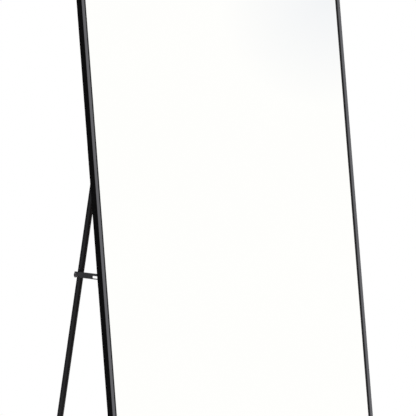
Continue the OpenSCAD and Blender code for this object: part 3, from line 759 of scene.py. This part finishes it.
def nut_rings(length, _):
    """A nut from one face to the other and back through its bore."""
    bore_r = BOLT_D / 2
    corner_r = NUT_CORNERS / 2
    flat_r = corner_r * math.cos(HALF_FLAT_ANGLE)
    chamfer = (corner_r - flat_r) * math.tan(NUT_CHAMFER_SLOPE) + NUT_EDGE
    face = [
        (flat_r - NUT_FACE_INSET, 0), (flat_r + CONE_OUT, chamfer * CONE_UP, NUT_CORNERS),
        (corner_r, chamfer, NUT_CORNERS)]
    far_face = [(radius, length - height, *corners) for radius, height, *corners in reversed(face)]
    return [
        (bore_r + NUT_LEAD, 0), *face, *far_face, (bore_r + NUT_LEAD, length), (bore_r, length - NUT_LEAD),
        (bore_r, NUT_LEAD)]


make_turned("hinge_nuts", UPRIGHT, "x", nut_rings, hollow=True)
print("nuts made,", NUT_CORNERS, "mm across their corners")

# %% [markdown]
# ## Studs and pins
# The stud that takes the stay's hook is turned with a rounded head and a plain neck. Its end is spun
# over on the tube's far side, which leaves a dimple there. The pin in the lug has a broad thin head. A
# plain disc for a head would catch no light, so both carry the rounded edge and the shallow recess that
# a lathe leaves.

# %% Studs and pins
STUD_HEAD_L = 2
STUD_NECK_D = 6
STUD_TAIL_L = 1.2
STUD_TAIL_D = 9
STUD_EDGE = 0.55
TAIL_EDGE = 0.6
TAIL_CHAMFER = 0.2
DIMPLE_RIM_SHARE = 0.5
DIMPLE_FLOOR_SHARE = 0.35
DIMPLE_DEPTH = 0.25
PIN_D = 4.5
PIN_HEAD_L = 2
PIN_EDGE = 0.5
PIN_CHAMFER = 0.2
RECESS_RIM_SHARE = 0.6
RECESS_FLOOR_SHARE = 0.55
RECESS_DEPTH = 0.12


def head_rings(radius, length, edge):
    """A turned head whose face lies at height 0, round a shallow recess."""
    return [
        (radius * RECESS_FLOOR_SHARE, RECESS_DEPTH), (radius * RECESS_RIM_SHARE, 0),
        *arc_rings(radius - edge, edge, edge, -90, 0),
        *arc_rings(radius - edge / 2, length - edge / 2, edge / 2, 0, 90)]


def stud_rings(length, head_d):
    neck_r = STUD_NECK_D / 2
    tail_r = STUD_TAIL_D / 2
    shoulder = length - STUD_TAIL_L
    return [
        *head_rings(head_d / 2, STUD_HEAD_L, STUD_EDGE), (neck_r, STUD_HEAD_L), (neck_r, shoulder),
        (tail_r - TAIL_CHAMFER, shoulder),
        *arc_rings(tail_r - TAIL_EDGE, length - TAIL_EDGE, TAIL_EDGE, 0, 90),
        (tail_r * DIMPLE_RIM_SHARE, length), (tail_r * DIMPLE_FLOOR_SHARE, length - DIMPLE_DEPTH)]


def pin_rings(length, head_d):
    pin_r = PIN_D / 2
    return [
        *head_rings(head_d / 2, PIN_HEAD_L, PIN_EDGE), (pin_r, PIN_HEAD_L), (pin_r, length - PIN_CHAMFER),
        (pin_r - PIN_CHAMFER, length)]


for side, flip in (("left", False), ("right", True)):
    make_turned(side + "_leg_stud", UPRIGHT, "x", stud_rings, flip=flip)
    make_turned(side + "_stay_pin", UPRIGHT, "x", pin_rings, flip=flip)
print("studs and pins made")

# %% [markdown]
# ## Spacers, bushes and washers
# A spacer keeps the stay off the tube, and a nylon bush and two washers let the tube turn on its bolt.
# Each is a plain ring with rounded rims. A cylinder with a hole cut by a Boolean would need its edges
# mended, so the bore is spun like the nut's.

# %% Spacers, bushes and washers
RIM_STEPS = 3
BUSH_BORE = 5.1
WASHER_BORE = 7
BORES_AND_ROUNDS = {
    "stud_spacers": (STUD_NECK_D, 0.2),
    "hinge_bushes": (BUSH_BORE, 0.3),
    "hinge_washers": (WASHER_BORE, 0.15),
}


def sleeve_rings(length, outer_d, bore, edge):
    """A plain tube with rounded rims."""
    centre_r = outer_d / 2 - edge
    return [
        (bore / 2, 0), *arc_rings(centre_r, edge, edge, -90, 0, RIM_STEPS),
        *arc_rings(centre_r, length - edge, edge, 0, 90, RIM_STEPS), (bore / 2, length)]


for node, (bore, edge) in BORES_AND_ROUNDS.items():
    make_turned(node, UPRIGHT, "x", sleeve_rings, bore, edge, hollow=True)
print("made", ", ".join(BORES_AND_ROUNDS))

# %% [markdown]
# ## Rivets and plugs of the stand
# Blind rivets hold the stand's joints. Their domes keep the hole that the mandrel broke off in, which
# tells them from solid rivets, so it is modelled where a plain dome would be quicker. The plugs in the
# arms' tops are moulded, with the dimple of their gate. The rivets stand square to the stand's plane and
# the plugs lie along its arms, so both are measured along the arms' own directions, which slant the
# other way from the frame's.

# %% Rivets and plugs
ARM_WALL = 1.2
ARM_D = (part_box("left_leg_arm")[1].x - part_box("left_leg_arm")[0].x) / MM
ARM_SLANT = slant_of("left_leg_arm", ARM_D * MM)
ARM_UP = Vector((0, -math.sin(ARM_SLANT), math.cos(ARM_SLANT)))
ARM_BACK = Vector((0, math.cos(ARM_SLANT), math.sin(ARM_SLANT)))
SLANTED = (ACROSS, ARM_BACK, ARM_UP)
RIVET_R = 1.5
RIVET_HEAD_H = 1.2
HOLE_R = 0.9
HOLE_LEAD = 0.1
HOLE_DEPTH = 0.5
MANDREL_R = 0.75
MANDREL_CROWN = 0.1
PLUG_RIM = 0.4
PLUG_DOME = 1.6
PLUG_CHAMFER = 0.15
PLUG_STEPS = 14
GATE_R = 0.8
GATE_SLOPE = 0.1
GATE_DEPTH = 0.2


def rivet_rings(length, head_d):
    """A rivet, from its end inside the tube to the mandrel's broken end in the hole of its dome."""
    base = length - RIVET_HEAD_H
    dome = dome_rings(head_d / 2, RIVET_HEAD_H, HOLE_R, base)
    top = dome[-1][1]
    floor = top - HOLE_DEPTH
    return [
        (RIVET_R, 0), (RIVET_R, base), *dome,
        (HOLE_R - HOLE_LEAD, top - HOLE_LEAD), (MANDREL_R, floor), (AXIS_R, floor + MANDREL_CROWN)]


def plug_rings(length, _):
    """A plug, from its end inside the tube to the bottom of its gate's dimple."""
    plug_r = ARM_D / 2
    insert_r = plug_r - ARM_WALL
    under = length - PLUG_RIM - PLUG_DOME
    dome = dome_rings(plug_r, PLUG_DOME, GATE_R, under + PLUG_RIM, PLUG_STEPS)
    dimple = dome[-1][1] - GATE_DEPTH
    return [
        (insert_r, 0), (insert_r, under), (plug_r - PLUG_CHAMFER, under), (plug_r, under + PLUG_CHAMFER),
        *dome, (GATE_R - GATE_SLOPE, dimple), (AXIS_R, dimple)]


make_turned("joint_rivets", SLANTED, "y", rivet_rings)
make_turned("arm_plugs", SLANTED, "z", plug_rings)
print("rivets and plugs made on arms that slant", round(math.degrees(ARM_SLANT), 2), "degrees")

# %% [markdown]
# ## Foot sleeves
# Rubber sleeves on the foot bar keep it from sliding. They are moulded with rounded ends and a few
# grooves for grip, and the floor flattens them into a sole. They could be cut off flat, but rubber is
# squeezed rather than cut, so the vertices below the floor are moved up to it.

# %% Foot sleeves
SLEEVE_ROUND = 1.2
SLEEVE_STEPS = 5
GROOVES = 5
GROOVE_W = 1.6
GROOVE_DEPTH = 0.5
GROOVE_SLOPE = 0.4


def foot_sleeve_rings(length, outer_r):
    """A sleeve with rounded ends and grooves round it, from height 0 to its length."""
    inner_r = ARM_D / 2
    centre_r = outer_r - SLEEVE_ROUND
    pitch = length / (GROOVES + 1)
    rings = [(inner_r, 0), *arc_rings(centre_r, SLEEVE_ROUND, SLEEVE_ROUND, -90, 0, SLEEVE_STEPS)]
    for k in range(GROOVES):
        start = pitch * (k + 1) - GROOVE_W / 2
        end = start + GROOVE_W
        bottom_r = outer_r - GROOVE_DEPTH
        rings += [(outer_r, start), (bottom_r, start + GROOVE_SLOPE)]
        rings += [(bottom_r, end - GROOVE_SLOPE), (outer_r, end)]
    rings += arc_rings(centre_r, length - SLEEVE_ROUND, SLEEVE_ROUND, 0, 90, SLEEVE_STEPS)
    return [*rings, (inner_r, length)]


def make_foot_sleeve(node):
    low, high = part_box(node)
    outer_r = (high.y - low.y) / 2
    spot = Vector((low.x, (low.y + high.y) / 2, high.z - outer_r))
    bm = bmesh.new()
    turned(bm, spot, ACROSS, foot_sleeve_rings((high.x - low.x) / MM, outer_r / MM), hollow=True)
    for vert in bm.verts:
        vert.co.z = max(vert.co.z, 0.0)
    return finished(bm, node)


for node in ("left_foot_sleeve", "right_foot_sleeve"):
    make_foot_sleeve(node)
print("foot sleeves made, with", GROOVES, "grooves each")

# %% [markdown]
# ## The studio's walls
# A mirror shows what it faces, so the room round it is part of its look. Walls could be built as boards, but
# the world can paint them on the sky, where they light nothing that they shouldn't. The camera sees pure
# white, and plain surfaces are lit by an even grey. What shines sees a white wall on the side where the glass
# sends the camera's view, which falls off to grey round it, and a black cloth behind the mirror. The white
# wall lights the frame's front face, which carries a painted highlight, and the cloth keeps the frame's sides
# black. One faint grey patch on the wall shows in the glass, at the top right of the picture.

# %% World
PLAIN_LEVEL = 0.55
PATCH_RIGHT = 0.029
PATCH_UP = 0.051
PATCH_REACH = 0.026
PATCH_GREY = (0.9, 0.913, 0.945, 1)
WALL_WHITE = (1, 1, 1, 1)
WALL_GREY = (0.55, 0.555, 0.56, 1)
WALL_FADE = (0.1, 0.7)
CLOTH_LEVEL = 0.02
CLOTH_EDGE = (-0.15, 0.25)


def seen_in_glass(right, up):
    """The direction that the glass shows the camera, at small angles from the middle of the picture."""
    looks = (VIEW_RIGHT * right + VIEW_UP * up - VIEW_BACK).normalized()
    return looks - INWARD * 2 * looks.dot(INWARD)


def blend_round(tree, heading, middle, reach, inner, outer):
    """One colour round a direction of the world and another one away from it."""
    away = add(tree, "VectorMath", {0: heading, 1: middle}, "Value", operation="DISTANCE")
    share = add(tree, "MapRange", {"Value": away, "From Min": reach[0], "From Max": reach[1]})
    return add(tree, "Mix", {FACTOR: share, FIRST: inner, SECOND: outer}, MIXED, **COLOURS)


def make_world():
    world = bpy.data.worlds.new("studio")
    world.use_nodes = True
    tree = world.node_tree
    heading = add(tree, "TexCoord", output="Generated")
    patch = seen_in_glass(PATCH_RIGHT, PATCH_UP)
    near = blend_round(tree, heading, patch, (0.0, PATCH_REACH), PATCH_GREY, WALL_WHITE)
    walls = blend_round(tree, heading, seen_in_glass(0, 0), WALL_FADE, near, WALL_GREY)
    back = add(tree, "SeparateXYZ", {0: heading}, "Y")
    behind = add(tree, "MapRange", {"Value": back, "From Min": CLOTH_EDGE[0], "From Max": CLOTH_EDGE[1]})
    cloth = (CLOTH_LEVEL, CLOTH_LEVEL, CLOTH_LEVEL, 1)
    plain = (PLAIN_LEVEL, PLAIN_LEVEL, PLAIN_LEVEL, 1)
    room = add(tree, "Mix", {FACTOR: behind, FIRST: walls, SECOND: cloth}, MIXED, **COLOURS)
    rays = add(tree, "LightPath").node.outputs
    lit = add(tree, "Mix", {FACTOR: rays["Is Glossy Ray"], FIRST: plain, SECOND: room}, MIXED, **COLOURS)
    looked_at = {0: rays["Is Camera Ray"], 1: rays["Is Transmission Ray"]}
    seen = add(tree, "Math", looked_at, operation="MAXIMUM")
    set_inputs(tree.nodes["Background"], {
        "Color": add(tree, "Mix", {FACTOR: seen, FIRST: lit, SECOND: WALL_WHITE}, MIXED, **COLOURS),
        "Strength": 1.0})
    return world


bpy.context.scene.world = make_world()
print("the glass shows the camera the direction", [round(x, 2) for x in seen_in_glass(0, 0)])

# %% [markdown]
# ## The floor
# A plain pale floor carries the mirror and its shadow. A sheet with an edge would draw a line across the
# white background, and a floor without end would grey it, so the floor is a disc that fades away towards its
# rim.

# %% Floor
FLOOR_RADIUS = 1.9
FLOOR_SIDES = 96
FADE_START = 0.5
PAPER_CLOUDS_MM = 40


def pale_paper(name):
    material, tree = new_material(name)
    spot = add(tree, "TexCoord", output="Object")
    clouds = add(tree, "TexNoise", {"Vector": spot, "Scale": per_mm(PAPER_CLOUDS_MM), "Detail": 3.0})
    paper = {FACTOR: clouds, FIRST: linear("#f2f2f1"), SECOND: linear("#f5f5f4")}
    set_inputs(tree.nodes[SHADER], {
        "Base Color": add(tree, "Mix", paper, MIXED, **COLOURS),
        "Roughness": 0.8,
        "Specular IOR Level": 0.1})
    away = add(tree, "VectorMath", {0: spot}, "Value", operation="LENGTH")
    fade = {"Value": away, "From Min": FADE_START, "From Max": FLOOR_RADIUS}
    gone = add(tree, "MapRange", fade, interpolation_type="SMOOTHSTEP")
    clear = add(tree, "BsdfTransparent")
    faded = add(tree, "MixShader", {0: gone, 1: tree.nodes[SHADER].outputs[0], 2: clear})
    set_inputs(tree.nodes["Material Output"], {"Surface": faded})
    return material


def make_floor():
    bm = bmesh.new()
    bmesh.ops.create_circle(bm, cap_ends=True, radius=FLOOR_RADIUS, segments=FLOOR_SIDES)
    floor = mesh_object("floor", bm, pale_paper("pale_floor"))


make_floor()
print("floor laid,", FLOOR_RADIUS * 2, "m across")

# %% [markdown]
# ## Lamps
# Two round soft lamps light the mirror from above and behind. A sun would draw hard shadows, and the
# picture shows hardly any, so they are large and weak, and most of the light comes from the world. The
# one at the back brings out the board, the brackets and the stand when the mirror is seen from behind.
# The camera doesn't see them.

# %% Lamps
OVERHEAD_W = 26
REAR_FILL_W = 14


def area_lamp(name, place, aim, size, power):
    data = bpy.data.lights.new(name, "AREA")
    data.shape = "DISK"
    data.size = size
    data.energy = power
    lamp = bpy.data.objects.new(name, data)
    bpy.context.scene.collection.objects.link(lamp)
    heading = Vector(place) - Vector(aim)
    lamp.matrix_world = Matrix.Translation(place) @ heading.to_track_quat("Z", "Y").to_matrix().to_4x4()
    lamp.visible_camera = False


area_lamp("overhead", place=(0.4, 0.5, 3.4), aim=(0, 0, 0.6), size=2.0, power=OVERHEAD_W)
area_lamp("rear_fill", place=(1.8, 2.6, 1.8), aim=(0, 0, 0.8), size=1.4, power=REAR_FILL_W)
print("lamps of", OVERHEAD_W, "W and", REAR_FILL_W, "W")
